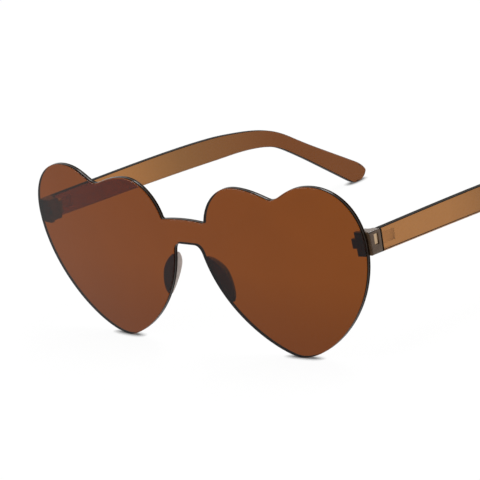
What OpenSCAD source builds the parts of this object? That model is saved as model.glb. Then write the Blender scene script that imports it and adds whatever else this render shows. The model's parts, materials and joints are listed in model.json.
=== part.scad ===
// Heart shaped sunglasses: a one-piece rimless double-heart lens, with moulded nose pads and
// end blocks bonded to its back, and two temples that fold on screwed three-barrel hinges.
// Units are millimetres. +X is to the right seen from the front, +Y runs back along the
// temples and +Z is up. The origin is on the table, under the middle of the open glasses.
// Left and right are as seen from the front.

/* [Lens] */
// Width of the double heart from edge to edge
lens_w = 143.8; // [136:0.2:150]
// Height of the hearts from the tips to the outer lobes
lens_h = 55.5; // [51:0.5:60]
// Thickness of the lens sheet
lens_t = 1.7; // [1.4:0.1:2.2]
// Radius of the ball that the front of the lens lies on
lens_curve_r = 530; // [420:10:700]
// Angle that the top of the lens leans forward
lens_lean = 1.6; // [0:0.1:3]

/* [Nose pads] */
// Greatest width of a pad, across its bonded face
pad_w = 5.4; // [4:0.1:6]
// Greatest depth of a pad behind the lens
pad_depth = 3.3; // [2.5:0.1:4.5]
// Depth of a pad at its two ends
pad_end_depth = 0.5; // [0.3:0.1:0.8]

/* [End blocks] */
// Length of a block's outer wall, from the lens to the temple
block_l = 4.3; // [4:0.1:6]
// Width of a block, from its outer wall inwards
block_w = 5.4; // [5.3:0.1:6.5]
// How far a block's outer wall stands out past the lens edge
block_stand = 1.1; // [0.6:0.1:1.6]
// Thickness of the foot that is bonded to the lens
foot_t = 1.2; // [0.8:0.1:1.4]

/* [Temples] */
// Height of a temple where it is deepest
temple_h = 7.9; // [7:0.1:8.6]
// Thickness of a temple
temple_t = 2.8; // [2.5:0.1:3]
// Distance from the hinge axis to the corner of the ear bend
temple_run = 93; // [84:0.2:98]
// Distance from the corner of the ear bend to the end of the tip
tail_l = 55; // [50:0.2:58]
// Angle that a temple drops towards the ear
temple_drop = 3.3; // [2:0.1:5]
// Radius of a temple's rounded edges
temple_edge_r = 0.7; // [0.3:0.1:1]

/* [Hinges] */
// Outer radius of the barrels
barrel_r = 1.3; // [1.1:0.05:1.35]
// Height of the middle barrel, which the temple carries
mid_barrel_h = 1.5; // [1.2:0.1:1.8]
// Height of each end barrel, which the block carries
end_barrel_h = 1.3; // [1:0.1:1.5]
// Radius of the hinge screw
screw_r = 0.55; // [0.4:0.05:0.65]
// Radius of the screw's head
head_r = 1.1; // [0.9:0.05:1.2]
// Height of the screw's head
head_h = 0.6; // [0.4:0.1:0.8]
// Thickness of the metal hinge leaves
leaf_t = 0.95; // [0.7:0.05:1.1]

/* [Clearances] */
// Radial clearance of the screw in the barrels
bore_clearance = 0.03; // [0.02:0.01:0.08]
// Clearance between neighbouring barrels
barrel_gap = 0.05; // [0.03:0.01:0.1]
// Clearance around a leaf in its pocket
pocket_clearance = 0.05; // [0.02:0.01:0.1]
// Glue line between the lens and what is bonded to it
glue_t = 0.05; // [0.02:0.01:0.1]
// Gap between a block and the end of its open temple
butt_gap = 0.1; // [0.05:0.01:0.2]

/* [Hidden] */
// How far a cut runs past the face that it opens
over = 1;
// Facets of the lens balls and of the hinge barrels
ball_facets = 256;
barrel_facets = 48;

// Outline of half of the double heart, from the middle of the bridge to the middle of the
// notch. Each row is one node: its place, then the handles behind it and ahead of it.
// Across counts in half widths of the lens, and up in lens heights.
heart_shares = [
    [[0.000, 0.762], [0.000, 0.000], [0.042, 0.000]],
    [[0.120, 0.753], [-0.038, 0.006], [0.006, -0.001]],
    [[0.132, 0.763], [-0.002, -0.008], [0.022, 0.111]],
    [[0.333, 0.971], [-0.097, 0.000], [0.101, 0.000]],
    [[0.537, 0.915], [-0.020, 0.000], [0.053, 0.000]],
    [[0.753, 1.000], [-0.122, 0.000], [0.151, 0.000]],
    [[1.000, 0.680], [0.000, 0.181], [0.000, -0.373]],
    [[0.530, 0.000], [0.170, 0.000], [-0.070, 0.000]],
    [[0.089, 0.562], [0.067, -0.383], [-0.007, 0.038]],
    [[0.043, 0.617], [0.025, 0.000], [0.000, 0.000]],
    [[0.000, 0.617], [0.000, 0.000], [0.000, 0.000]]
];
// Number of steps that draw each stretch between two nodes
heart_steps = [4, 3, 14, 12, 12, 16, 20, 20, 6, 1];
// The node at a heart's tip; the notch edge that carries a nose pad runs on from it
tip_node = 7;
// Height of the foremost point of the lens ball
vertex_height_share = 0.438;

// Height of a temple along its length: share of the length, share of temple_h
temple_height_shares = [
    [0.00, 0.92], [0.17, 0.97], [0.34, 1.00], [0.49, 0.97], [0.57, 0.84],
    [0.64, 0.74], [0.71, 0.64], [0.79, 0.65], [0.88, 0.78], [0.97, 0.92], [1.00, 0.94]
];
// How far before and past its corner the ear bend starts and ends
bend_before_share = 0.75;
bend_after_share = 0.317;
// How near to the corner the handles of the ear bend reach
bend_handle_shares = [0.99, 0.71];
// The tip's end: its level above the middle, and the length of its upper and lower rounding
tip_nose_share = 0.26;
tip_top_share = 0.76;
tip_bottom_share = 0.72;
// Angle over which the points of the tip's rounded end fan out
tip_fan = 85;
// The ear bend is looked for from straight up to this angle, by halving this many times
bend_most = 70;
bend_halvings = 24;

// Height of the hinge on the lens
hinge_height_share = 0.68;
// How far the hinge axis lies in from the temple's inner face
axis_inset = barrel_r + butt_gap;
// The temple leaf's plate: its length and height
temple_plate_l = 7;
temple_plate_h = 3.4;
// The front leaf's tab, which shows in the block's window: its place, length and height
tab_from_butt = 1.1;
tab_l = 1.8;
tab_low = 0.65;
tab_h = 3.25;
tab_recess = 0.3;
// Length of the front leaf behind the barrels
front_leaf_l = 3;
// The foot of a block: how far it stands over the block, and in from the lens edge
foot_stand = 0.3;
foot_from_edge = 0.9;
// The tongue that runs on inwards from the foot: its length, height and rise above the middle
tongue_l = 1.4;
tongue_h = 3;
tongue_rise = 0.3;
// Clearance of the barrels in the block's notch and of the temple's barrel in the front leaf
knuckle_clearance = 0.12;
// The screw's slot
slot_w = 0.3;
slot_depth = 0.25;
// Clearance under the screw's head
head_seat = 0.02;

// Where a nose pad starts and ends along the notch edge, counted from the heart's tip
pad_start_share = 0.727;
pad_end_share = 0.991;
pad_steps = 26;
// Distance of a pad from the lens edge
pad_inset = 0.15;
// A section of a pad: share of its width, then share of its depth
pad_section_shares = [
    [0.00, 0.00], [0.00, 0.53], [0.03, 0.69], [0.10, 0.81], [0.19, 0.92], [0.29, 0.98],
    [0.39, 1.00], [0.52, 0.98], [0.65, 0.91], [0.77, 0.79], [0.87, 0.64], [0.94, 0.46],
    [0.98, 0.25], [1.00, 0.00], [0.67, 0.00], [0.33, 0.00]
];
// Along a pad from its lower end, the place of its greatest width and depth
pad_w_peak_share = 0.6;
pad_depth_peak_share = 0.7;
// How a pad swells to its greatest width and depth: two powers for each side
pad_round_powers = [1.9, 0.72];
pad_slope_powers = [1.26, 1];
// Least width of a pad, at its ends
pad_end_share_min = 0.1;

// Lens: derived sizes
half_w = lens_w / 2;
vertex_height = lens_h * vertex_height_share;
tip_x = half_w * heart_shares[tip_node][0][0];
// Depth of the lens ball at a distance from its foremost point
function ball_depth(distance) = lens_curve_r - sqrt(pow(lens_curve_r, 2) - pow(distance, 2));
tip_back = ball_depth(norm([tip_x, vertex_height]));
// Height of the foremost point that sets the tips on the table
lens_z = vertex_height * cos(lens_lean) - tip_back * sin(lens_lean);

// Temples: derived sizes
hinge_z = lens_h * hinge_height_share;
outer_x = half_w + block_stand;
temple_in_x = outer_x - temple_t;
axis_x = temple_in_x - axis_inset;
bend_before = temple_run * bend_before_share;
bend_after = tail_l * bend_after_share;
stack_h = mid_barrel_h + 2 * end_barrel_h + 2 * barrel_gap;
front_h = temple_h * temple_height_shares[0][1];
// Length of the raw bar that a block is cut from at its seat
block_bar_l = block_l + block_w + front_h;

// One point of a curve with two handles
function curve_point(start, handle_a, handle_b, end, t) =
    pow(1 - t, 3) * start + 3 * pow(1 - t, 2) * t * handle_a
    + 3 * (1 - t) * pow(t, 2) * handle_b + pow(t, 3) * end;

// A point of the heart outline, on the stretch after node i, in millimetres from the tips up
function heart_size(share) = [share[0] * half_w, share[1] * lens_h];
function heart_point(i, t) =
    let (a = heart_shares[i], b = heart_shares[i + 1])
    curve_point(heart_size(a[0]), heart_size(a[0] + a[2]),
        heart_size(b[0] + b[1]), heart_size(b[0]), t);
half_heart = [
    for (i = [0:len(heart_steps) - 1], k = [0:heart_steps[i] - 1])
        heart_point(i, k / heart_steps[i])
];
// Both hearts: the right half downwards, then the left half from the notch back up
notch_point = heart_size(heart_shares[len(heart_shares) - 1][0]);
heart_outline = concat(
    half_heart,
    [notch_point],
    [for (i = [len(half_heart) - 1:-1:1]) [-half_heart[i][0], half_heart[i][1]]]
);

// A section with rounded corners, from its half width, its reach up and down, and its radius
corner_steps = 3;
function rounded_section(half, up, down, radius) =
    let (r = min(radius, half, (up + down) / 2))
    [for (corner = [0:3], k = [0:corner_steps])
        let (
            a = 90 * (corner + k / corner_steps),
            right = corner == 0 || corner == 3,
            above = corner < 2
        )
        [(right ? half - r : r - half) + r * cos(a), (above ? up - r : r - down) + r * sin(a)]
    ];

// Faces of a skin over rings of equal length, closed by its first and last ring
function skin_faces(rings, sides) = concat(
    [[for (k = [0:sides - 1]) k]],
    [for (i = [0:rings - 2], k = [0:sides - 1], half = [0, 1])
        let (
            a = i * sides + k,
            b = i * sides + (k + 1) % sides
        )
        half == 0 ? [a, a + sides, b] : [b, a + sides, b + sides]
    ],
    [[for (k = [sides - 1:-1:0]) (rings - 1) * sides + k]]
);

// Smooth value between the rows of a table, by a curve that keeps their mean slopes
function table_slope(table, i) =
    let (
        a = table[max(i - 1, 0)],
        b = table[min(i + 1, len(table) - 1)]
    )
    (b[1] - a[1]) / (b[0] - a[0]);
function table_row(table, x, i = 0) =
    i >= len(table) - 2 || x < table[i + 1][0] ? i : table_row(table, x, i + 1);
function table_value(table, x) =
    let (
        i = table_row(table, x),
        a = table[i],
        b = table[i + 1],
        run = b[0] - a[0],
        t = (x - a[0]) / run,
        rise_a = table_slope(table, i) * run,
        rise_b = table_slope(table, i + 1) * run
    )
    a[1] * (2 * pow(t, 3) - 3 * pow(t, 2) + 1) + rise_a * (pow(t, 3) - 2 * pow(t, 2) + t)
    + b[1] * (3 * pow(t, 2) - 2 * pow(t, 3)) + rise_b * (pow(t, 3) - pow(t, 2));

// Middle line of a temple from the hinge axis, seen from the side, for a bend of this angle.
// Each point is its run, its level and the angle that the line drops there.
straight_steps = 6;
bend_steps = 22;
tail_steps = 6;
end_steps = 9;
tip_bottom = temple_h * tip_bottom_share;
function bend_points(angle) =
    let (
        down = [cos(angle), -sin(angle)],
        start = [temple_run - bend_before, 0],
        corner = [temple_run, 0],
        end = corner + bend_after * down,
        handle_a = start + bend_handle_shares[0] * (corner - start),
        handle_b = end - bend_handle_shares[1] * (end - corner)
    )
    [for (k = [0:bend_steps]) curve_point(start, handle_a, handle_b, end, k / bend_steps)];
function tail_point(angle, along) =
    [temple_run + along * cos(angle), -along * sin(angle)];
function tail_places() = concat(
    [for (k = [1:tail_steps])
        bend_after + (tail_l - tip_bottom - bend_after) * k / tail_steps],
    [for (k = [1:end_steps]) tail_l - tip_bottom + tip_bottom * sin(tip_fan * k / end_steps)]
);
function middle_points(angle) = concat(
    [for (k = [0:straight_steps - 1])
        [butt_gap + (temple_run - bend_before - butt_gap) * k / straight_steps, 0]],
    bend_points(angle),
    [for (along = tail_places()) tail_point(angle, along)]
);
// The angle that the line drops at each of its points
function drop_at(points, i) =
    let (d = points[min(i + 1, len(points) - 1)] - points[max(i - 1, 0)])
    -atan2(d[1], d[0]);
// How far along the line each of its points lies
function lengths(points) = [
    for (i = 0, s = 0; i < len(points); i = i + 1,
        s = s + (i < len(points) ? norm(points[i] - points[i - 1]) : 0)) s
];

// Reach of the temple's upper and lower edge from its middle line, with a rounded end
function rounding(left, radius) = left >= radius ? 1 : sqrt(1 - pow(1 - left / radius, 2));
function edge_reach(s, total) =
    let (
        height = temple_h * table_value(temple_height_shares, s / total),
        nose = height * tip_nose_share,
        left = total - s
    )
    [
        nose + (height / 2 - nose) * rounding(left, temple_h * tip_top_share),
        -nose + (height / 2 + nose) * rounding(left, tip_bottom)
    ];
// Half thickness, which also rounds off at the end
function half_thickness(left) =
    temple_t / 2 - temple_edge_r + temple_edge_r * rounding(left, temple_edge_r);

// A point beside the middle line, turned down with the temple and set at the hinge's height
function beside(point, drop, offset) =
    point + offset * [sin(drop), cos(drop)];
function hung(point) = [
    point[0] * cos(temple_drop) + point[1] * sin(temple_drop),
    hinge_z - point[0] * sin(temple_drop) + point[1] * cos(temple_drop)
];
function lower_edge(angle) =
    let (
        points = middle_points(angle),
        along = lengths(points),
        total = along[len(along) - 1] + tip_bottom * (1 - sin(tip_fan))
    )
    [for (i = [0:len(points) - 1])
        hung(beside(points[i], drop_at(points, i), -edge_reach(along[i], total)[1]))];
function lowest(angle) = min([for (p = lower_edge(angle)) p[1]]);
// The bend that sets the tip on the table, found by halving
function bend_for_table(low, high, turns) =
    let (middle = (low + high) / 2)
    turns == 0 ? middle
        : lowest(middle) > 0 ? bend_for_table(middle, high, turns - 1)
        : bend_for_table(low, middle, turns - 1);
bend_angle = bend_for_table(0, bend_most, bend_halvings);
temple_points = middle_points(bend_angle);
temple_lengths = lengths(temple_points);
temple_total = temple_lengths[len(temple_lengths) - 1] + tip_bottom * (1 - sin(tip_fan));

// Places along Y: the whole is centred on the origin
front_bulge = lens_curve_r * (1 - cos(lens_lean));
tip_reach = max([for (p = lower_edge(bend_angle)) p[0]]);
ball_from_vertex = [0, lens_curve_r * cos(lens_lean), lens_curve_r * sin(lens_lean)];
bond_r = lens_curve_r - lens_t - glue_t;
// Place behind the lens's foremost point of the ball that bonded faces lie on
function bond_back(x, z) =
    ball_from_vertex[1]
    - sqrt(pow(bond_r, 2) - pow(x, 2) - pow(z - lens_z - ball_from_vertex[2], 2));
hinge_back = bond_back(outer_x, hinge_z) + block_l;
// The seat of an end block, and its place on the ball as seen from the ball's middle
seat_x = outer_x - block_w / 2;
foot_out = half_w - foot_from_edge - seat_x;
seat_reach = norm([block_w / 2 + tongue_l, front_h / 2 + foot_stand]);
seat_r = bond_r - pow(seat_reach, 2) / bond_r / 2;
seat_level = (hinge_z - lens_z) * cos(lens_lean) - bond_back(seat_x, hinge_z) * sin(lens_lean);
seat_pitch = asin(seat_level / bond_r);
seat_yaw = asin(seat_x / bond_r / cos(seat_pitch));
overall_l = front_bulge + hinge_back + tip_reach;
lens_y = front_bulge - overall_l / 2;
hinge_y = lens_y + hinge_back;

// Mirrors to the left side, or leaves on the right
module on_side(side) {
    if (side < 0) mirror([1, 0, 0]) children();
    else children();
}

// Leans with the lens, from the foremost point of its ball
module lens_place() {
    translate([0, lens_y, lens_z]) rotate([lens_lean, 0, 0]) children();
}

// The flat seat of an end block on the back of the lens, square to the ball there. Here +Y
// points away from the lens, and the seat lies just clear of it out to seat_reach.
module seat_place() {
    lens_place() translate([0, lens_curve_r, 0]) rotate([-seat_pitch, 0, seat_yaw])
    translate([0, -seat_r, 0]) children();
}

// Drops with the temple, from the hinge axis
module hinge_place() {
    translate([axis_x, hinge_y, hinge_z]) rotate([-temple_drop, 0, 0]) children();
}

// A box from its lowest to its highest corner
module box_between(low, high) {
    translate(low) cube(high - low);
}

module lens() {
    color([0.47, 0.25, 0.13, 0.85])
    lens_place() intersection() {
        rotate([90, 0, 0])
        linear_extrude(height = lens_w, center = true)
        translate([0, -vertex_height])
        polygon(heart_outline);
        translate([0, lens_curve_r, 0]) difference() {
            sphere(r = lens_curve_r, $fn = ball_facets);
            sphere(r = lens_curve_r - lens_t, $fn = ball_facets);
        }
    }
}

// How full a pad is at a place along it: nothing at its ends and 1 at its peak
function swell(t, peak, powers_below, powers_above) =
    let (
        u = t < peak ? 1 - t / peak : (t - peak) / (1 - peak),
        powers = t < peak ? powers_below : powers_above
    )
    pow(max(0, 1 - pow(u, powers[0])), powers[1]);
pad_points = [
    for (i = [0:pad_steps])
        let (
            t = (1 - cos(180 * i / pad_steps)) / 2,
            edge = heart_point(tip_node, pad_start_share + (pad_end_share - pad_start_share) * t),
            full_w = swell(t, pad_w_peak_share, pad_round_powers, pad_round_powers),
            full_depth = swell(t, pad_depth_peak_share, pad_slope_powers, pad_round_powers),
            width = pad_w * (pad_end_share_min + (1 - pad_end_share_min) * full_w),
            depth = pad_end_depth + (pad_depth - pad_end_depth) * full_depth
        )
        for (share = pad_section_shares)
            let (
                x = edge[0] + pad_inset + width * share[0],
                z = edge[1] - vertex_height + lens_z
            )
            [x, lens_y + bond_back(x, z) + depth * share[1], z]
];

module nose_pad(side) {
    color([0.58, 0.53, 0.55, 0.8])
    on_side(side)
    polyhedron(pad_points, skin_faces(pad_steps + 1, len(pad_section_shares)), convexity = 4);
}

// The front leaf of a hinge, grown by a clearance for its pocket
module front_leaf_plates(grow = 0) {
    box_between(
        [-leaf_t / 2 - grow, -front_leaf_l - grow, -stack_h / 2 - grow],
        [leaf_t / 2 + grow, 0, stack_h / 2 + grow]
    );
    box_between(
        [0, -tab_from_butt - tab_l - grow, -tab_low - grow],
        [
            grow > 0 ? outer_x - axis_x + over : outer_x - axis_x - tab_recess,
            -tab_from_butt + grow,
            tab_h - tab_low + grow
        ]
    );
}

module end_block(side) {
    color([0.42, 0.40, 0.39, 0.85])
    on_side(side)
    difference() {
        union() {
            // The block itself has the temple's section and starts at its seat
            intersection() {
                hinge_place() translate([seat_x - axis_x, -butt_gap / 2, 0])
                rotate([90, 0, 0])
                linear_extrude(height = block_bar_l)
                polygon(rounded_section(block_w / 2, front_h / 2, front_h / 2, temple_edge_r));
                seat_place() box_between(
                    [-block_w, 0, -front_h],
                    [block_w, block_bar_l, front_h]
                );
            }
            // Its foot, and the tongue that runs on inwards
            seat_place() {
                box_between(
                    [-block_w / 2, 0, -front_h / 2],
                    [foot_out, foot_t, front_h / 2 + foot_stand]
                );
                box_between(
                    [-block_w / 2 - tongue_l, 0, tongue_rise - tongue_h / 2],
                    [0, foot_t, tongue_rise + tongue_h / 2]
                );
            }
        }
        hinge_place() {
            front_leaf_plates(pocket_clearance);
            // Room for the barrels, open at the top for the screw
            translate([0, 0, -stack_h / 2 - knuckle_clearance])
            cylinder(r = barrel_r + knuckle_clearance, h = front_h, $fn = barrel_facets);
        }
    }
}

module front_hinge_leaf(side) {
    mid_room = mid_barrel_h + 2 * barrel_gap;
    color([0.80, 0.74, 0.66])
    on_side(side)
    hinge_place() difference() {
        union() {
            for (end = [-1, 1])
                translate([0, 0, end * (stack_h - end_barrel_h) / 2])
                cylinder(r = barrel_r, h = end_barrel_h, center = true, $fn = barrel_facets);
            front_leaf_plates();
        }
        cylinder(r = barrel_r + knuckle_clearance, h = mid_room, center = true, $fn = barrel_facets);
        cylinder(r = screw_r + bore_clearance, h = stack_h + over, center = true, $fn = barrel_facets);
    }
}

module hinge_screw(side) {
    color([0.75, 0.75, 0.76])
    on_side(side)
    hinge_place() {
        difference() {
            union() {
                translate([0, 0, -stack_h / 2])
                cylinder(r = screw_r, h = stack_h + head_seat + head_h / 2, $fn = barrel_facets);
                translate([0, 0, stack_h / 2 + head_seat])
                cylinder(r = head_r, h = head_h, $fn = barrel_facets);
            }
            translate([0, 0, stack_h / 2 + head_seat + head_h - slot_depth + over / 2])
            cube([slot_w, 2 * (head_r + over), over], center = true);
        }
    }
}

// The plate that lies in the temple's inner face, grown by a clearance for its pocket
module temple_leaf_plate(grow = 0) {
    box_between(
        [axis_inset + pocket_clearance - grow, butt_gap - grow, -temple_plate_h / 2 - grow],
        [axis_inset + pocket_clearance + leaf_t + grow, temple_plate_l + grow, temple_plate_h / 2 + grow]
    );
}

module temple_hinge_leaf(side) {
    color([0.80, 0.74, 0.66])
    on_side(side)
    hinge_place() difference() {
        union() {
            cylinder(r = barrel_r, h = mid_barrel_h, center = true, $fn = barrel_facets);
            box_between(
                [0, butt_gap, -mid_barrel_h / 2],
                [axis_inset + pocket_clearance + leaf_t / 2, barrel_r - butt_gap, mid_barrel_h / 2]
            );
            temple_leaf_plate();
        }
        cylinder(r = screw_r + bore_clearance, h = mid_barrel_h + over, center = true, $fn = barrel_facets);
    }
}

// Rings of a temple along its middle line, from the hinge axis
temple_sides = len(rounded_section(1, 1, 1, 1));
temple_rings = [
    for (i = [0:len(temple_points) - 1])
        let (
            reach = edge_reach(temple_lengths[i], temple_total),
            half = half_thickness(temple_total - temple_lengths[i]),
            drop = drop_at(temple_points, i)
        )
        for (p = rounded_section(half, reach[0], reach[1], temple_edge_r))
            let (side_point = beside(temple_points[i], drop, p[1]))
            [p[0] + axis_inset + temple_t / 2, side_point[0], side_point[1]]
];

module temple(side) {
    color([0.58, 0.36, 0.20, 0.85])
    on_side(side)
    hinge_place() difference() {
        polyhedron(temple_rings, skin_faces(len(temple_points), temple_sides), convexity = 6);
        temple_leaf_plate(pocket_clearance);
    }
}

lens();
nose_pad(-1);  // nose_pad_left
nose_pad(1);  // nose_pad_right
end_block(-1);  // end_block_left
end_block(1);  // end_block_right
front_hinge_leaf(-1);  // front_hinge_leaf_left
front_hinge_leaf(1);  // front_hinge_leaf_right
hinge_screw(-1);  // hinge_screw_left
hinge_screw(1);  // hinge_screw_right
temple_hinge_leaf(-1);  // temple_hinge_leaf_left
temple_hinge_leaf(1);  // temple_hinge_leaf_right
temple(-1);  // temple_left
temple(1);  // temple_right
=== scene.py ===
"""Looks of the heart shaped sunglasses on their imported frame.

The lens, pads and temples are drawn again here with more points and smooth normals, from the
same named sizes as the source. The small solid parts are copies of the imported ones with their
edges rounded. Sizes of the pieces are in millimetres, and MM turns them into metres. Sizes in
the materials, the floor and the lamps are in metres from the start.
"""

import json
import math

import bmesh
import bpy
from mathutils import Matrix, Vector
from mathutils.geometry import delaunay_2d_cdt


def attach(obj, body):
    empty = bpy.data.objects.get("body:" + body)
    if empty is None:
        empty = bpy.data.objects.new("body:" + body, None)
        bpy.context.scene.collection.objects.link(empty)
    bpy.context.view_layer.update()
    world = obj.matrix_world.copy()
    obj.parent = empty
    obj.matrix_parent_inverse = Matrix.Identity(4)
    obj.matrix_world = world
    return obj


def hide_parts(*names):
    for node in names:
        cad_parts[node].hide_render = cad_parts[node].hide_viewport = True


MM = 0.001

# Sizes of the source, in millimetres and degrees
LENS_W = 143.8
LENS_H = 55.5
LENS_T = 1.7
LENS_R = 530
LENS_LEAN = 1.6
VERTEX_SHARE = 0.438
GLUE_T = 0.05
PAD_W = 5.4
PAD_DEPTH = 3.3
PAD_END_DEPTH = 0.5
PAD_INSET = 0.15
TEMPLE_H = 7.9
TEMPLE_T = 2.8
TEMPLE_RUN = 93
TAIL_L = 55
TEMPLE_DROP = 3.3
TEMPLE_EDGE_R = 0.7
BUTT_GAP = 0.1
BARREL_R = 1.3
AXIS_INSET = BARREL_R + BUTT_GAP
# What the source works out: the place of the lens's foremost point, and the angle of the ear bend
LENS_Y = -74.6893
LENS_Z = 24.2456
BEND = 31.7655

# One row per node of half the outline: place, handle behind it, handle ahead of it
HEART_SHARES = [
    ((0.000, 0.762), (0.000, 0.000), (0.042, 0.000)),
    ((0.120, 0.753), (-0.038, 0.006), (0.006, -0.001)),
    ((0.132, 0.763), (-0.002, -0.008), (0.022, 0.111)),
    ((0.333, 0.971), (-0.097, 0.000), (0.101, 0.000)),
    ((0.537, 0.915), (-0.020, 0.000), (0.053, 0.000)),
    ((0.753, 1.000), (-0.122, 0.000), (0.151, 0.000)),
    ((1.000, 0.680), (0.000, 0.181), (0.000, -0.373)),
    ((0.530, 0.000), (0.170, 0.000), (-0.070, 0.000)),
    ((0.089, 0.562), (0.067, -0.383), (-0.007, 0.038)),
    ((0.043, 0.617), (0.025, 0.000), (0.000, 0.000)),
    ((0.000, 0.617), (0.000, 0.000), (0.000, 0.000)),
]
HEART_STEPS = (12, 8, 44, 36, 36, 48, 64, 64, 20, 4)
TIP_NODE = 7

# The sheet: how far its drawn front lies behind the solid's, how far its two corners are eased,
# the angles of the points round a corner, and the depths of those on the edge between the corners
LENS_FRONT = 0.04
FRONT_EASE = 0.3
BACK_EASE = 0.12
CORNER_ANGLES = (0, 30, 60, 90)
EDGE_DEPTHS = (0.41, 0.68, 0.95, 1.20)
# The sheet's materials in order: clear, dark painted shade, and dark painted shade that keeps a
# gloss;
# and which one each strip of its edge has, from the front
CLEAR, PAINTED_SHADE, GLOSSY_PAINTED_SHADE = range(3)
EDGE_SHADING = (CLEAR, CLEAR, PAINTED_SHADE, PAINTED_SHADE, PAINTED_SHADE, GLOSSY_PAINTED_SHADE, PAINTED_SHADE, PAINTED_SHADE, PAINTED_SHADE, PAINTED_SHADE, PAINTED_SHADE)
# Spacing of the points on the sheet's two faces, and how far they stay off its edge
SHEET_STEP = 2.5
SHEET_GAP = 0.9

# Height of a temple along it: share of its length, share of TEMPLE_H
TEMPLE_HEIGHT_SHARES = [
    (0.00, 0.92), (0.17, 0.97), (0.34, 1.00), (0.49, 0.97), (0.57, 0.84), (0.64, 0.74),
    (0.71, 0.64), (0.79, 0.65), (0.88, 0.78), (0.97, 0.92), (1.00, 0.94),
]
# How far before and past its corner the ear bend starts and ends, and how near to the corner its
# handles reach
BEND_BEFORE = TEMPLE_RUN * 0.75
BEND_AFTER = TAIL_L * 0.317
BEND_HANDLE_SHARES = (0.99, 0.71)
# Points of a temple's middle line: to the bend, round it, along the tail and round the tip
RUN_STEPS, BEND_STEPS, TAIL_STEPS, TIP_STEPS = 14, 70, 20, 30
# How far the drawn tip stays inside the solid one, and where its quarter turn ends, in degrees
TIP_SKIN = 0.01
TIP_END = 88.5
# The tip's end: its level above the middle, as a share of the height there, and the length of its
# upper and lower rounding
TIP_NOSE_SHARE = 0.26
TIP_TOP = TEMPLE_H * 0.76
TIP_BOTTOM = TEMPLE_H * 0.72

# Length of the band of painted shade at a temple's front end
BUTT_SHADE = 0.45
# Faces on each rounded edge of a temple
ROUND_STEPS = 7
# Strips of painted shade on a temple's skin: first and last row round the bar, the clear rows
# inside the lower one before the bend, the ring where these end, and the ring where all strips end
DARK_TOP = (4, 10)
DARK_BOTTOM = (20, 26)
THIN_BOTTOM = (22, 24)
FULL_BOTTOM = 52
STRIPS_END = 119

# A pad: where it begins and ends on the outline's curve after TIP_NODE, its steps along it, the
# share of its width at the ends, and how its width and depth swell: place of the peak, then the
# power and root of the curve before it and after it
PAD_START_SHARE, PAD_END_SHARE = 0.727, 0.991
PAD_STEPS = 72
PAD_END_WIDTH_SHARE = 0.1
PAD_WIDTH_SWELL = (0.6, (1.9, 0.72), (1.9, 0.72))
PAD_DEPTH_SWELL = (0.7, (1.26, 1), (1.9, 0.72))
# Section of a pad: share of its width, share of its depth
PAD_SECTION_SHARES = [
    (0.00, 0.00), (0.00, 0.53), (0.03, 0.69), (0.10, 0.81), (0.19, 0.92), (0.29, 0.98),
    (0.39, 1.00), (0.52, 0.98), (0.65, 0.91), (0.77, 0.79), (0.87, 0.64), (0.94, 0.46),
    (0.98, 0.25), (1.00, 0.00),
]
# The points that go back along its bonded face, and the stretches drawn between two of the others
PAD_BASE_SHARES = [(0.8, 0), (0.6, 0), (0.4, 0), (0.2, 0)]
PAD_SECTION_PARTS = 3

# Edges sharper than these, in degrees, stay sharp on the pads and the small parts
PAD_CREASE = 42
PART_CREASE = 35
# In a small part, points closer than WELD are one, faces that turn by less than FLAT degrees are
# joined, and edges shorter than SHORT_EDGE times the easing's width stay as they are
WELD = 0.002
FLAT = 1
SHORT_EDGE = 2.2
# Width of the easing on the end blocks and on the metal parts, and its faces and shape
BLOCK_EASE, METAL_EASE = 0.4, 0.05
EASE_FACES, EASE_SHAPE = 2, 0.6

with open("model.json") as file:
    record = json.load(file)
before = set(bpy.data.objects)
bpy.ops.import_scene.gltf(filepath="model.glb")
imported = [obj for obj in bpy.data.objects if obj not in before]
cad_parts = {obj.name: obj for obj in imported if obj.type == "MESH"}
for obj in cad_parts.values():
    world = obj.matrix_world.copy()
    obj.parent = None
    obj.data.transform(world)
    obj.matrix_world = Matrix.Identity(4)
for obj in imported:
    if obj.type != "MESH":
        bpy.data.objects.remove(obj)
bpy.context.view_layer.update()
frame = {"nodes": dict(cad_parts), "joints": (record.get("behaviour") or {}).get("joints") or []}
nodes = frame["nodes"]
hinge = next(joint for joint in frame["joints"] if joint["name"] == "right_temple_fold")
AXIS_X, HINGE_Y, HINGE_Z = (v / MM for v in hinge["pos_m"])
# The barrels lie within this distance of the middle, and the leaves' plates beyond it
BARREL_X = AXIS_X + BARREL_R


# Curves
def curve_point(a, b, c, d, t):
    """A point of a curve from a to d with the handles b and c."""
    u = 1 - t
    return tuple(
        u ** 3 * a[i] + 3 * u ** 2 * t * b[i] + 3 * u * t * t * c[i] + t ** 3 * d[i]
        for i in (0, 1)
    )


def heart_size(place, move=(0, 0)):
    """A place given in shares of the outline's half width and height, in millimetres."""
    return ((place[0] + move[0]) * LENS_W / 2, (place[1] + move[1]) * LENS_H)


def heart_point(i, t):
    """A point of the outline's curve after node i, from 0 to 1 along it."""
    a, b = HEART_SHARES[i], HEART_SHARES[i + 1]
    return curve_point(
        heart_size(a[0]), heart_size(a[0], a[2]), heart_size(b[0], b[1]), heart_size(b[0]), t
    )


def heart_loop():
    """The whole outline, about the lens's foremost point."""
    half = [heart_point(i, k / n) for i, n in enumerate(HEART_STEPS) for k in range(n)]
    loop = half + [heart_size(HEART_SHARES[-1][0])] + [(-x, z) for x, z in reversed(half[1:])]
    return [(x, z - LENS_H * VERTEX_SHARE) for x, z in loop]


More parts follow.
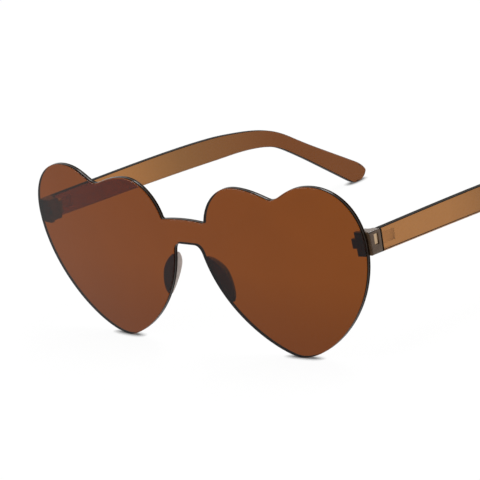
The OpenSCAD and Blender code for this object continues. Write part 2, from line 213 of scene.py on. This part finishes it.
def outward(loop):
    """Unit normals of a closed clockwise loop, pointing out of it."""
    result = []
    for i, _ in enumerate(loop):
        a, b = loop[i - 1], loop[(i + 1) % len(loop)]
        dx, dz = b[0] - a[0], b[1] - a[1]
        size = math.hypot(dx, dz)
        result.append((-dz / size, dx / size))
    return result


# Places
LEAN = Matrix.Rotation(math.radians(LENS_LEAN), 3, "X")
DROP = Matrix.Rotation(math.radians(-TEMPLE_DROP), 3, "X")


def lens_place(p):
    return (LEAN @ Vector(p) + Vector((0, LENS_Y, LENS_Z))) * MM


def on_ball(x, z, depth):
    """A point of the lens at a depth behind its front, leaning with it."""
    return lens_place((x, LENS_R - math.sqrt((LENS_R - depth) ** 2 - x * x - z * z), z))


def bond_back(x, z):
    """How far behind the lens's foremost point the bonded face of a pad lies."""
    centre = LEAN @ Vector((0, LENS_R, 0))
    r = LENS_R - LENS_T - GLUE_T
    return centre.y - math.sqrt(r * r - x * x - (z - LENS_Z - centre.z) ** 2)


# Pieces
def add_piece(name, mesh, body, slot, *replaced):
    piece = bpy.data.objects.new(name, mesh)
    bpy.context.scene.collection.objects.link(piece)
    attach(piece, body)
    if replaced:
        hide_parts(*replaced)
    return piece


def edge_rings():
    """Rings of points round the sheet's edge, from its eased front corner to its back one."""
    curve = [math.radians(a) for a in CORNER_ANGLES]
    profile = [
        (FRONT_EASE * (1 - math.sin(a)), LENS_FRONT + FRONT_EASE * (1 - math.cos(a)))
        for a in curve
    ]
    profile += [(0, depth) for depth in EDGE_DEPTHS]
    profile += [
        (BACK_EASE * (1 - math.sin(a)), LENS_T - BACK_EASE * (1 - math.cos(a)))
        for a in reversed(curve)
    ]
    loop = heart_loop()
    out = outward(loop)
    return [
        [(x - nx * inset, z - nz * inset, depth) for (x, z), (nx, nz) in zip(loop, out)]
        for inset, depth in profile
    ]


def filled(rim):
    """Points on and inside a rim, the faces between them, and which of the points are the rim's."""
    reach = math.ceil(LENS_W / 2 / SHEET_STEP)
    steps = range(-reach, reach + 1)
    grid = [(i * SHEET_STEP, k * SHEET_STEP) for i in steps for k in steps]
    inner = [(x, z) for x, z in grid if clear_inside(rim, x, z, SHEET_GAP)]
    flat = [Vector(p) for p in rim + inner]
    edges = [(i, (i + 1) % len(rim)) for i in range(len(rim))]
    inside_only, tolerance = 1, 1e-6
    points, _, faces, origin, _, _ = delaunay_2d_cdt(flat, edges, [], inside_only, tolerance)
    where = {source: i for i, sources in enumerate(origin) for source in sources}
    return points, faces, [where[i] for i in range(len(rim))]


def lens_piece():
    """The sheet: two smooth ball faces, and between them the polished edge with eased corners, its
    strips mostly dark painted shade.
    """
    rings = edge_rings()
    points, faces, rim = filled([(x, z) for x, z, _ in rings[0]])
    mesh = bpy.data.meshes.new("lens_sheet")
    bm = bmesh.new()
    front = [bm.verts.new(on_ball(p.x, p.y, LENS_FRONT)) for p in points]
    back = [bm.verts.new(on_ball(p.x, p.y, LENS_T)) for p in points]
    for face in faces:
        bm.faces.new([front[i] for i in face])
        bm.faces.new([back[i] for i in reversed(face)])
    strips = [[front[i] for i in rim]]
    strips += [[bm.verts.new(on_ball(*place)) for place in ring] for ring in rings[1:-1]]
    strips.append([back[i] for i in rim])
    for k, (upper, lower) in enumerate(zip(strips, strips[1:])):
        for i in range(len(rim)):
            j = (i + 1) % len(rim)
            face = bm.faces.new((upper[i], upper[j], lower[j], lower[i]))
            face.material_index = EDGE_SHADING[k]
    bmesh.ops.recalc_face_normals(bm, faces=bm.faces)
    for face in bm.faces:
        face.smooth = True
    for ring in (strips[0], strips[-1]):
        for i in range(len(rim)):
            bm.edges.get((ring[i - 1], ring[i])).smooth = False
    bm.to_mesh(mesh)
    bm.free()
    return add_piece("lens_sheet", mesh, "front", "lens_tint", "lens")


def clear_inside(loop, x, z, gap):
    """Whether a point lies inside a loop and off its edge."""
    inside = False
    for i, (x1, z1) in enumerate(loop):
        x0, z0 = loop[i - 1]
        if (z0 > z) != (z1 > z) and x < x0 + (z - z0) / (z1 - z0) * (x1 - x0):
            inside = not inside
        if math.hypot(x1 - x, z1 - z) < gap:
            return False
    return inside


def loft(name, rings, normals, side):
    """A closed skin over rings of points, with a normal given at each, mirrored to its side."""
    mesh = bpy.data.meshes.new(name)
    n = len(rings[0])
    verts = [(side * x * MM, y * MM, z * MM) for ring in rings for x, y, z in ring]
    faces = []
    for i in range(len(rings) - 1):
        for k in range(n):
            a, b = i * n + k, i * n + (k + 1) % n
            faces.append((a, a + n, b + n, b))
    first_cap = len(faces)
    faces.append(tuple(range(n)))
    faces.append(tuple(range(len(verts) - 1, len(verts) - n - 1, -1)))
    if side < 0:
        faces = [tuple(reversed(f)) for f in faces]
    mesh.from_pydata(verts, [], faces)
    mesh.update()
    outer = [Vector((side * x, y, z)).normalized() for ring in normals for x, y, z in ring]
    loops = []
    for polygon in mesh.polygons:
        polygon.use_smooth = True
        flat = polygon.index >= first_cap
        loops += [polygon.normal.copy() if flat else outer[i] for i in polygon.vertices]
    mesh.normals_split_custom_set(loops)
    return mesh


def swell(t, peak, below, above):
    """How full a pad is along its length: 1 at the peak, and 0 at its ends."""
    u = 1 - t / peak if t < peak else (t - peak) / (1 - peak)
    power, root = below if t < peak else above
    return max(0, 1 - u ** power) ** root


def pad_rings():
    """Sections of the right nose pad, along the notch edge on the lens's back."""
    rings = []
    section = finer(PAD_SECTION_SHARES, PAD_SECTION_PARTS) + PAD_BASE_SHARES
    for i in range(PAD_STEPS + 1):
        t = (1 - math.cos(math.pi * i / PAD_STEPS)) / 2
        place = PAD_START_SHARE + (PAD_END_SHARE - PAD_START_SHARE) * t
        edge_x, edge_z = heart_point(TIP_NODE, place)
        wide = PAD_END_WIDTH_SHARE + (1 - PAD_END_WIDTH_SHARE) * swell(t, *PAD_WIDTH_SWELL)
        width = PAD_W * wide
        depth = PAD_END_DEPTH + (PAD_DEPTH - PAD_END_DEPTH) * swell(t, *PAD_DEPTH_SWELL)
        ring = []
        for across, deep in section:
            x = edge_x + PAD_INSET + width * across
            z = edge_z - LENS_H * VERTEX_SHARE + LENS_Z
            ring.append((x, LENS_Y + bond_back(x, z) + depth * deep, z))
        rings.append(ring)
    return rings


def pad_piece(side, name):
    """A bonded nose pad: a closed skin over its sections, mirrored to its side."""
    mesh = bpy.data.meshes.new("nose_pad")
    bm = bmesh.new()
    grid = [
        [bm.verts.new((side * x * MM, y * MM, z * MM)) for x, y, z in ring] for ring in pad_rings()
    ]
    for a, b in zip(grid, grid[1:]):
        for k in range(len(a)):
            j = (k + 1) % len(a)
            bm.faces.new((a[k], a[j], b[j], b[k]))
    bm.faces.new(grid[0])
    bm.faces.new(grid[-1])
    bmesh.ops.recalc_face_normals(bm, faces=bm.faces)
    soften(bm, PAD_CREASE)
    bm.to_mesh(mesh)
    bm.free()
    return add_piece(f"pad_{name}", mesh, "front", "smoke_plastic", f"nose_pad_{name}")


def finer(rows, parts):
    """Rows with points between them on a smooth curve."""
    result = []
    for i in range(len(rows) - 1):
        before, after = rows[max(i - 1, 0)], rows[min(i + 2, len(rows) - 1)]
        a, b = rows[i], rows[i + 1]
        for k in range(parts):
            t = k / parts
            result.append(tuple(
                0.5 * (2 * a[c] + (b[c] - before[c]) * t
                       + (2 * before[c] - 5 * a[c] + 4 * b[c] - after[c]) * t * t
                       + (3 * a[c] - before[c] - 3 * b[c] + after[c]) * t ** 3)
                for c in (0, 1)
            ))
    return result + [rows[-1]]


def soften(bm, angle):
    """Smooth shading, with edges sharper than an angle kept."""
    for face in bm.faces:
        face.smooth = True
    for edge in bm.edges:
        if len(edge.link_faces) == 2 and edge.calc_face_angle(0) > math.radians(angle):
            edge.smooth = False


# Temples
def table_value(rows, x):
    """A value on a smooth curve through rows of place and value."""
    i = 0
    while i < len(rows) - 2 and x >= rows[i + 1][0]:
        i += 1
    a, b = rows[i], rows[i + 1]
    run = b[0] - a[0]
    t = (x - a[0]) / run

    def slope(k):
        p, q = rows[max(k - 1, 0)], rows[min(k + 1, len(rows) - 1)]
        return (q[1] - p[1]) / (q[0] - p[0])

    rise_a, rise_b = slope(i) * run, slope(i + 1) * run
    return (
        a[1] * (2 * t ** 3 - 3 * t * t + 1) + rise_a * (t ** 3 - 2 * t * t + t)
        + b[1] * (3 * t * t - 2 * t ** 3) + rise_b * (t ** 3 - t * t)
    )


def middle_line():
    """Places along a temple's middle: how far behind its hinge and how far above."""
    down = (math.cos(math.radians(BEND)), -math.sin(math.radians(BEND)))
    start, corner = (TEMPLE_RUN - BEND_BEFORE, 0.0), (TEMPLE_RUN, 0.0)
    end = (corner[0] + BEND_AFTER * down[0], BEND_AFTER * down[1])
    handle_a = (start[0] + BEND_HANDLE_SHARES[0] * (corner[0] - start[0]), 0.0)
    handle_b = tuple(end[i] - BEND_HANDLE_SHARES[1] * (end[i] - corner[i]) for i in (0, 1))
    line = [(BUTT_GAP, 0.0)]
    first = BUTT_GAP + BUTT_SHADE
    line += [(first + (start[0] - first) * k / RUN_STEPS, 0.0) for k in range(RUN_STEPS)]
    line += [
        curve_point(start, handle_a, handle_b, end, k / BEND_STEPS) for k in range(BEND_STEPS + 1)
    ]
    reach = TAIL_L - TIP_BOTTOM - TIP_SKIN
    along = [
        BEND_AFTER + (reach - BEND_AFTER) * k / TAIL_STEPS for k in range(1, TAIL_STEPS + 1)
    ]
    along += [
        reach + TIP_BOTTOM * math.sin(math.radians(TIP_END * k / TIP_STEPS))
        for k in range(1, TIP_STEPS + 1)
    ]
    line += [(TEMPLE_RUN + s * down[0], s * down[1]) for s in along]
    return line


def rounding(left, radius):
    """Share of the full size at a distance left up to a rounded end."""
    return 1 if left >= radius else math.sqrt(max(0, 1 - (1 - left / radius) ** 2))


def temple_ring(place, drop, along, total):
    """A section of the right temple, square to its middle line, and the normals of its points."""
    left = total - along
    height = TEMPLE_H * table_value(TEMPLE_HEIGHT_SHARES, along / total)
    nose = height * TIP_NOSE_SHARE
    up = nose + (height / 2 - nose) * rounding(left, TIP_TOP)
    down = -nose + (height / 2 + nose) * rounding(left, TIP_BOTTOM)
    half = TEMPLE_T / 2 - TEMPLE_EDGE_R + TEMPLE_EDGE_R * rounding(left, TEMPLE_EDGE_R)
    r = min(TEMPLE_EDGE_R, half, (up + down) / 2)
    # Near the tip the skin turns to face back along the line
    turn = max(0.0, 1 - left / TIP_BOTTOM)
    ring, normals = [], []
    for corner in range(4):
        for k in range(ROUND_STEPS + 1):
            angle = math.radians(90 * (corner + k / ROUND_STEPS))
            across, upward = math.cos(angle), math.sin(angle)
            x = (half - r if corner in (0, 3) else r - half) + r * across
            z = (up - r if corner < 2 else r - down) + r * upward
            point = DROP @ Vector((
                x + AXIS_INSET + TEMPLE_T / 2,
                place[0] + z * math.sin(drop),
                place[1] + z * math.cos(drop),
            ))
            ring.append((point.x + AXIS_X, point.y + HINGE_Y, point.z + HINGE_Z))
            tilt = turn * abs(upward)
            lift = math.sqrt(max(0.0, 1 - tilt * tilt))
            normals.append(tuple(DROP @ Vector((
                across,
                upward * lift * math.sin(drop) + tilt * math.cos(drop),
                upward * lift * math.cos(drop) - tilt * math.sin(drop),
            ))))
    return ring, normals


def paint_shade_strips(mesh, rings, points):
    """The second material, painted shade, for a temple's dark strips and its front end."""
    front_end = (rings - 1) * points
    for polygon in mesh.polygons[:front_end]:
        i, k = divmod(polygon.index, points)
        on_top = DARK_TOP[0] <= k <= DARK_TOP[1]
        below = DARK_BOTTOM[0] <= k <= DARK_BOTTOM[1]
        between_lines = THIN_BOTTOM[0] <= k <= THIN_BOTTOM[1] and i < FULL_BOTTOM
        dark = (on_top or below and not between_lines) and i < STRIPS_END
        polygon.material_index = 1 if dark or i == 0 else 0
    mesh.polygons[front_end].material_index = 1


def temple_piece(side, name):
    """A temple: one bent bar with rounded edges and a rounded tip."""
    line = middle_line()
    lengths = [0.0]
    for a, b in zip(line, line[1:]):
        lengths.append(lengths[-1] + math.hypot(b[0] - a[0], b[1] - a[1]))
    total = lengths[-1] + TIP_BOTTOM * (1 - math.sin(math.radians(TIP_END)))
    rings, normals = [], []
    for i, place in enumerate(line):
        a, b = line[max(i - 1, 0)], line[min(i + 1, len(line) - 1)]
        drop = -math.atan2(b[1] - a[1], b[0] - a[0])
        ring, faces_out = temple_ring(place, drop, lengths[i], total)
        rings.append(ring)
        normals.append(faces_out)
    mesh = loft(f"temple_bar_{name}", rings, normals, side)
    paint_shade_strips(mesh, len(rings), len(rings[0]))
    return add_piece(
        f"temple_bar_{name}", mesh, f"{name}_temple", "temple_plastic", f"temple_{name}"
    )


# Small solid parts
def refined(node, body, slot, width, look=-1):
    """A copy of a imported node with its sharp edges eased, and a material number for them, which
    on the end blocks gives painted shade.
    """
    mesh = nodes[node].data.copy()
    mesh.materials.clear()
    bm = bmesh.new()
    bm.from_mesh(mesh)
    bmesh.ops.remove_doubles(bm, verts=bm.verts, dist=WELD * MM)
    bmesh.ops.dissolve_limit(
        bm, angle_limit=math.radians(FLAT), verts=bm.verts, edges=bm.edges
    )
    sharp = [
        e for e in bm.edges
        if len(e.link_faces) == 2 and e.calc_face_angle(0) > math.radians(PART_CREASE)
        and e.calc_length() > SHORT_EDGE * width * MM
    ]
    bmesh.ops.bevel(
        bm, geom=sharp, offset=width * MM, offset_type="OFFSET", segments=EASE_FACES,
        profile=EASE_SHAPE, affect="EDGES", clamp_overlap=True, material=look,
    )
    bmesh.ops.recalc_face_normals(bm, faces=bm.faces)
    soften(bm, PART_CREASE)
    bm.to_mesh(mesh)
    bm.free()
    return add_piece(f"{node}_eased", mesh, body, slot, node)


def leaf_piece(node, body):
    """A hinge leaf, with the second material for its barrels."""
    piece = refined(node, body, "hinge_metal", METAL_EASE)
    for polygon in piece.data.polygons:
        polygon.material_index = 1 if abs(polygon.center.x) < BARREL_X * MM else 0
    return piece


# Materials
WHITE = (1, 1, 1)
# Noises, each with its scale in waves to the metre and its detail: clouds in clear and in moulded
# plastic, their grain, and the drawn lines of metal
CLEAR_CLOUD, CLOUD = (60, 4), (350, 5)
CLEAR_GRAIN, GRAIN, FINE_GRAIN = (900, 3), (1500, 3), (2500, 2)
METAL_LINES = (4000, 3)
# Scale of that noise along X, Y and Z, which draws the lines out along Z, and the plain one
DRAWN, PLAIN = (1, 1, 0.08), (1, 1, 1)
# Noise values that count as its lowest and highest
NOISE_ENDS = (0.3, 0.7)
# Depth in metres and strength of the bumps of moulded plastic and of metal
PLASTIC_BUMP, METAL_BUMP = (0.00002, 0.3), (0.00001, 0.4)
# Colour of a clear plastic's clouds where they are darkest; elsewhere they go up to white
CLOUD_TINT = (0.95, 0.95, 0.95)
# Heights between which a clear plastic's colour gets lighter from its darker bottom, in metres
TINT_RISE = (0.004, 0.026)
# How far the roughness of moulded plastic and of metal goes up and down
PLASTIC_WEAR, METAL_WEAR = 0.06, 0.08
# How far light goes under the skin of moulded plastic, in metres
SCATTER = (0.0016, 0.0013, 0.0014)
# Lines of painted shade on an end block's outer face, in metres: the height of its middle, and
# where each line begins and is full, above or below the middle, towards the front and outwards
BLOCK_MIDDLE = 0.03789
BLOCK_LEVEL = (0.00322, 0.00338)
BLOCK_FRONT = (0.06840, 0.06856)
BLOCK_OUTER = (0.07260, 0.07276)
# Product of a pad's X and the X of its normal, from its inner to its outer flank, where shade is
# painted
FLANK = (-0.004, 0.010)


def new_material(name):
    material = bpy.data.materials.new(name)
    material.use_nodes = True
    tree = material.node_tree
    tree.nodes.clear()
    out = tree.nodes.new("ShaderNodeOutputMaterial")
    return material, tree, out


def shaded_material(name):
    material, tree, out = new_material(name)
    shader = tree.nodes.new("ShaderNodeBsdfPrincipled")
    tree.links.new(shader.outputs["BSDF"], out.inputs["Surface"])
    return material, tree, shader, out


def fill_in(tree, socket, value):
    """Gives a socket a number, a colour or another node's output."""
    if isinstance(value, tuple):
        socket.default_value = (*value, 1)
    elif isinstance(value, (int, float)):
        socket.default_value = value
    else:
        tree.links.new(value, socket)


def noise(tree, scale, detail, stretch=None):
    where = tree.nodes.new("ShaderNodeTexCoord").outputs["Object"]
    if stretch:
        mapping = tree.nodes.new("ShaderNodeMapping")
        mapping.inputs["Scale"].default_value = stretch
        tree.links.new(where, mapping.inputs["Vector"])
        where = mapping.outputs["Vector"]
    node = tree.nodes.new("ShaderNodeTexNoise")
    node.inputs["Scale"].default_value = scale
    node.inputs["Detail"].default_value = detail
    tree.links.new(where, node.inputs["Vector"])
    return node.outputs["Fac"]


def ranged(tree, value, low, high, to_low=0, to_high=1):
    """A value between two limits moved to two others, and held there past them."""
    node = tree.nodes.new("ShaderNodeMapRange")
    limits = (("From Min", low), ("From Max", high), ("To Min", to_low), ("To Max", to_high))
    for name, limit in limits:
        node.inputs[name].default_value = limit
    tree.links.new(value, node.inputs["Value"])
    return node.outputs["Result"]


def spread(tree, value, low=0, high=1):
    """Noise, which mostly lies about a half, spread over a range."""
    return ranged(tree, value, *NOISE_ENDS, low, high)


def blended(tree, share, a, b, kind="MIX"):
    node = tree.nodes.new("ShaderNodeMix")
    node.data_type = "RGBA"
    node.blend_type = kind
    for name, value in (("Factor", share), ("A", a), ("B", b)):
        fill_in(tree, node.inputs[name], value)
    return node.outputs["Result"]


def calculated(tree, operation, *values):
    node = tree.nodes.new("ShaderNodeMath")
    node.operation = operation
    for socket, value in zip(node.inputs, values):
        fill_in(tree, socket, value)
    return node.outputs["Value"]


def bumped(tree, shader, value, distance, strength):
    node = tree.nodes.new("ShaderNodeBump")
    node.inputs["Distance"].default_value = distance
    node.inputs["Strength"].default_value = strength
    tree.links.new(value, node.inputs["Height"])
    tree.links.new(node.outputs["Normal"], shader.inputs["Normal"])


def split(tree, vector):
    node = tree.nodes.new("ShaderNodeSeparateXYZ")
    tree.links.new(vector, node.inputs["Vector"])
    return node.outputs


def place_on(tree):
    """The place on the piece, as three numbers in metres."""
    return split(tree, tree.nodes.new("ShaderNodeTexCoord").outputs["Object"])


def facing(tree):
    """The direction of the skin, as three numbers."""
    return split(tree, tree.nodes.new("ShaderNodeNewGeometry").outputs["Normal"])


def tinted(name, tints_and_shade, ior, rough, low=None, absorb=None, density=0):
    """Clear tinted plastic: colours at places along Y in metres, which on the temples darken as
    painted shade, and darker towards the bottom.
    """
    material, tree, shader, out = shaded_material(name)
    place = place_on(tree)
    colour = tints_and_shade[0][1]
    for (start, _), (end, tint) in zip(tints_and_shade, tints_and_shade[1:]):
        colour = blended(tree, ranged(tree, place["Y"], start, end), colour, tint)
    cloud = blended(tree, spread(tree, noise(tree, *CLEAR_CLOUD)), CLOUD_TINT, WHITE)
    colour = blended(tree, 1, colour, cloud, "MULTIPLY")
    if low:
        depth = blended(tree, ranged(tree, place["Z"], *TINT_RISE), low, WHITE)
        colour = blended(tree, 1, colour, depth, "MULTIPLY")
    tree.links.new(colour, shader.inputs["Base Color"])
    tree.links.new(spread(tree, noise(tree, *CLEAR_GRAIN), *rough), shader.inputs["Roughness"])
    shader.inputs["Transmission Weight"].default_value = 1
    shader.inputs["IOR"].default_value = ior
    if absorb:
        volume = tree.nodes.new("ShaderNodeVolumeAbsorption")
        volume.inputs["Color"].default_value = (*absorb, 1)
        volume.inputs["Density"].default_value = density
        tree.links.new(volume.outputs["Volume"], out.inputs["Volume"])
    return material


def moulded(name, dark, light, rough, specular, scatter=0.0, shade_colour=None, share=None):
    """Cloudy moulded plastic, going over to a darker colour of painted shade by the share that a
    function gives.
    """
    material, tree, shader, _ = shaded_material(name)
    colour = blended(tree, spread(tree, noise(tree, *CLOUD)), dark, light)
    if shade_colour:
        colour = blended(tree, share(tree), colour, shade_colour)
    tree.links.new(colour, shader.inputs["Base Color"])
    wear = spread(tree, noise(tree, *GRAIN), rough - PLASTIC_WEAR, rough + PLASTIC_WEAR)
    tree.links.new(wear, shader.inputs["Roughness"])
    shader.inputs["Specular IOR Level"].default_value = specular
    if scatter:
        shader.inputs["Subsurface Weight"].default_value = scatter
        shader.inputs["Subsurface Radius"].default_value = SCATTER
        shader.inputs["Subsurface Scale"].default_value = 1
    bumped(tree, shader, noise(tree, *FINE_GRAIN), *PLASTIC_BUMP)
    return material


def block_edge_painted_shade(tree):
    """1 along the edges of an end block's outer face, where shade is painted, and 0 elsewhere."""
    place = place_on(tree)
    above = calculated(tree, "SUBTRACT", place["Z"], BLOCK_MIDDLE)
    level = ranged(tree, calculated(tree, "ABSOLUTE", above), *BLOCK_LEVEL)
    front = ranged(tree, calculated(tree, "MULTIPLY", place["Y"], -1), *BLOCK_FRONT)
    outer = ranged(tree, calculated(tree, "ABSOLUTE", place["X"]), *BLOCK_OUTER)
    return calculated(tree, "MULTIPLY", outer, calculated(tree, "MAXIMUM", level, front))


def pad_flank_painted_shade(tree):
    """1 on the side of a pad turned from the nose, where shade is painted, and 0 on the other."""
    outward_x = calculated(tree, "MULTIPLY", facing(tree)["X"], place_on(tree)["X"])
    return ranged(tree, outward_x, *FLANK)


def metal(name, dark, light, rough, stretch=PLAIN):
    """Satin metal with fine drawn lines."""
    material, tree, shader, _ = shaded_material(name)
    lines = noise(tree, *METAL_LINES, stretch)
    tree.links.new(blended(tree, spread(tree, lines), dark, light), shader.inputs["Base Color"])
    wear = spread(tree, lines, rough - METAL_WEAR, rough + METAL_WEAR)
    tree.links.new(wear, shader.inputs["Roughness"])
    shader.inputs["Metallic"].default_value = 1
    bumped(tree, shader, lines, *METAL_BUMP)
    return material


lens_face = tinted(
    "lens_tint_face", [(0, (0.351, 0.128, 0.005))], ior=1.25, rough=(0.0, 0.03),
    low=(0.80, 0.76, 0.70), absorb=(0.611, 0.319, 0.100), density=700,
)
# Painted shade: the lens edge's near-black colours stand in for the dark look of light lost inside
# the tinted edge; the gloss strip still reflects the lamps.
rim_painted_shade = moulded(
    "lens_edge_painted_shade", (0.007, 0.0035, 0.002), (0.015, 0.008, 0.004), rough=0.2, specular=0.02
)
rim_glossy_shade = moulded(
    "lens_edge_glossy_painted_shade", (0.010, 0.006, 0.004), (0.018, 0.011, 0.007), rough=0.2, specular=0.3
)
# The temple's colour darkens from the hinge towards the tail: painted shade.
temple_clear = tinted(
    "temple_plastic",
    [
        (-0.034, (0.372, 0.160, 0.049)),
        (-0.008, (0.238, 0.104, 0.032)),
        (0.038, (0.172, 0.052, 0.010)),
    ],
    ior=1.25, rough=(0.06, 0.11),
)
# Painted shade: near-black strips on the temples and on the end blocks' eased edges, standing in
# for the dark look of light lost inside the tinted plastic.
temple_painted_shade = moulded(
    "temple_edge_painted_shade", (0.004, 0.0025, 0.0015), (0.009, 0.006, 0.004), rough=0.3, specular=0.01
)
# The pad's outer flank is painted darker: painted shade.
pad_plastic = moulded(
    "pad_smoke", (0.335, 0.285, 0.26), (0.395, 0.335, 0.305), rough=0.3, specular=0.1, scatter=0.2,
    shade_colour=(0.110, 0.112, 0.108), share=pad_flank_painted_shade,
)
# The block's dark outline on its outer face is painted shade.
block_plastic = moulded(
    "block_smoke", (0.062, 0.036, 0.019), (0.100, 0.060, 0.034), rough=0.22, specular=0.35,
    scatter=0.1, shade_colour=(0.006, 0.004, 0.003), share=block_edge_painted_shade,
)
leaf_metal = metal("hinge_nickel", (0.41, 0.285, 0.165), (0.55, 0.40, 0.26), 0.35, DRAWN)
plate_metal = metal("hinge_plate_nickel", (0.92, 0.89, 0.86), (1.00, 0.99, 0.97), 0.35, DRAWN)
barrel_metal = metal("hinge_burnished", (0.10, 0.085, 0.07), (0.17, 0.145, 0.125), 0.35, DRAWN)
screw_metal = metal("screw_steel", (0.55, 0.55, 0.56), (0.72, 0.72, 0.74), 0.25)


def dress(piece, *finishes):
    for look in finishes:
        piece.data.materials.append(look)


dress(lens_piece(), lens_face, rim_painted_shade, rim_glossy_shade)
for side, name in ((-1, "left"), (1, "right")):
    dress(pad_piece(side, name), pad_plastic)
    dress(temple_piece(side, name), temple_clear, temple_painted_shade)
    # The blocks' eased edges take the second material, painted shade.
    block = refined(f"end_block_{name}", "front", "smoke_plastic", BLOCK_EASE, look=1)
    dress(block, block_plastic, temple_painted_shade)
    dress(leaf_piece(f"front_hinge_leaf_{name}", "front"), leaf_metal, barrel_metal)
    leaf = leaf_piece(f"temple_hinge_leaf_{name}", f"{name}_temple")
    dress(leaf, plate_metal, barrel_metal)
    dress(refined(f"hinge_screw_{name}", "front", "screw_steel", METAL_EASE), screw_metal)


# Floor, world and lights
FLOOR_HALF = 4
FLOOR_GREY = (0.9, 0.9, 0.9)
# The floor's shadow where the object touches it: how far it reaches in metres, its rays, and the
# openness and strength between which it goes from dark to white
TOUCH_REACH = 0.0022
TOUCH_RAYS = 12
TOUCH_OPEN = (0.35, 0.9)
TOUCH_WHITE = (0.15, 1)
# Share of plain white in the floor as the camera sees it; the rest keeps the lamps' shadows
FLOOR_WHITE = 0.94
# Strength of the world as a light, and as the camera, mirrors and clear surfaces see it
WORLD_LEVELS = (0.6, 1)
# Name, place, width and height in metres, and power in watts
LAMPS = (
    ("key", (0.25, 0.15, 1.10), (0.8, 0.3), 8),
    ("rear", (-0.27, 0.60, 0.75), (0.3, 0.3), 1.8),
    ("fill", (-0.7, -0.9, 0.6), (0.6, 0.6), 4),
)
LAMP_AIM = (0, 0, 0.03)


def seen(tree):
    """1 for a ray from the camera, or from a mirror or clear surface, and else 0."""
    path = tree.nodes.new("ShaderNodeLightPath")
    value = path.outputs["Is Camera Ray"]
    for ray in ("Is Glossy Ray", "Is Transmission Ray"):
        value = calculated(tree, "MAXIMUM", value, path.outputs[ray])
    return value


def floor_material():
    material, tree, out = new_material("floor_white")
    plain = tree.nodes.new("ShaderNodeBsdfDiffuse")
    plain.inputs["Color"].default_value = (*FLOOR_GREY, 1)
    close = tree.nodes.new("ShaderNodeAmbientOcclusion")
    close.samples = TOUCH_RAYS
    close.inputs["Distance"].default_value = TOUCH_REACH
    white = tree.nodes.new("ShaderNodeEmission")
    strength = ranged(tree, close.outputs["AO"], *TOUCH_OPEN, *TOUCH_WHITE)
    tree.links.new(strength, white.inputs["Strength"])
    part = tree.nodes.new("ShaderNodeMixShader")
    tree.links.new(calculated(tree, "MULTIPLY", seen(tree), FLOOR_WHITE), part.inputs["Fac"])
    tree.links.new(plain.outputs["BSDF"], part.inputs[1])
    tree.links.new(white.outputs["Emission"], part.inputs[2])
    tree.links.new(part.outputs["Shader"], out.inputs["Surface"])
    return material


def floor_piece():
    mesh = bpy.data.meshes.new("floor")
    signs = ((-1, -1), (1, -1), (1, 1), (-1, 1))
    corners = [(x * FLOOR_HALF, y * FLOOR_HALF, 0) for x, y in signs]
    mesh.from_pydata(corners, [], [(0, 1, 2, 3)])
    mesh.materials.append(floor_material())
    floor = bpy.data.objects.new("floor", mesh)
    bpy.context.scene.collection.objects.link(floor)


def world_light():
    world = bpy.data.worlds.new("studio")
    bpy.context.scene.world = world
    world.use_nodes = True
    tree = world.node_tree
    back = tree.nodes["Background"]
    back.inputs["Color"].default_value = (*WHITE, 1)
    tree.links.new(ranged(tree, seen(tree), 0, 1, *WORLD_LEVELS), back.inputs["Strength"])


def lamp(name, place, size, watts):
    data = bpy.data.lights.new(name, "AREA")
    data.shape = "RECTANGLE"
    data.size, data.size_y = size
    data.energy = watts
    obj = bpy.data.objects.new(name, data)
    obj.location = place
    obj.rotation_euler = (Vector(place) - Vector(LAMP_AIM)).to_track_quat("Z", "Y").to_euler()
    obj.visible_transmission = False
    bpy.context.scene.collection.objects.link(obj)


floor_piece()
world_light()
for row in LAMPS:
    lamp(*row)


# Camera
# The photograph's view: its direction from the lens, its roll and a last tilt in degrees, and
# its distance in metres
VIEW_AZIMUTH, VIEW_ELEVATION, VIEW_ROLL = 48.797, 17.200, -11.769
VIEW_TILT = 0.29
VIEW_DISTANCE = 1.14529
# The photograph's width and focal length, and how far its middle lies right of and above the
# lens's foremost point, in pixels
PICTURE_W = 480
FOCAL = 3737.6
MIDDLE_RIGHT, MIDDLE_UP = 47.27, 35.09
# Blender's sensor width in millimetres, and the nearest and farthest that it draws, in metres
SENSOR_W = 36
NEAREST, FARTHEST = 0.01, 20


def camera():
    azimuth, elevation, roll = (
        math.radians(v) for v in (VIEW_AZIMUTH, VIEW_ELEVATION, VIEW_ROLL)
    )
    back = Vector((
        math.sin(azimuth) * math.cos(elevation),
        -math.cos(azimuth) * math.cos(elevation),
        math.sin(elevation),
    ))
    level = Vector((math.cos(azimuth), math.sin(azimuth), 0))
    upright = back.cross(level)
    right = math.cos(roll) * level + math.sin(roll) * upright
    up = math.cos(roll) * upright - math.sin(roll) * level
    tilt = Matrix.Rotation(math.radians(VIEW_TILT), 3, "X")
    back, right, up = tilt @ back, tilt @ right, tilt @ up
    place = Vector((0, LENS_Y, LENS_Z)) * MM + back * VIEW_DISTANCE
    ahead = -back + right * (MIDDLE_RIGHT / FOCAL) + up * (MIDDLE_UP / FOCAL)
    back = -ahead.normalized()
    right = (right - back * right.dot(back)).normalized()
    up = back.cross(right)
    data = bpy.data.cameras.new("camera")
    data.sensor_width = SENSOR_W
    data.lens = SENSOR_W * FOCAL / PICTURE_W
    data.clip_start, data.clip_end = NEAREST, FARTHEST
    obj = bpy.data.objects.new("camera", data)
    turn = Matrix((right, up, back)).transposed()
    obj.matrix_world = Matrix.Translation(place) @ turn.to_4x4()
    bpy.context.scene.collection.objects.link(obj)
    bpy.context.scene.camera = obj


camera()
bpy.context.scene.view_settings.view_transform = "Standard"
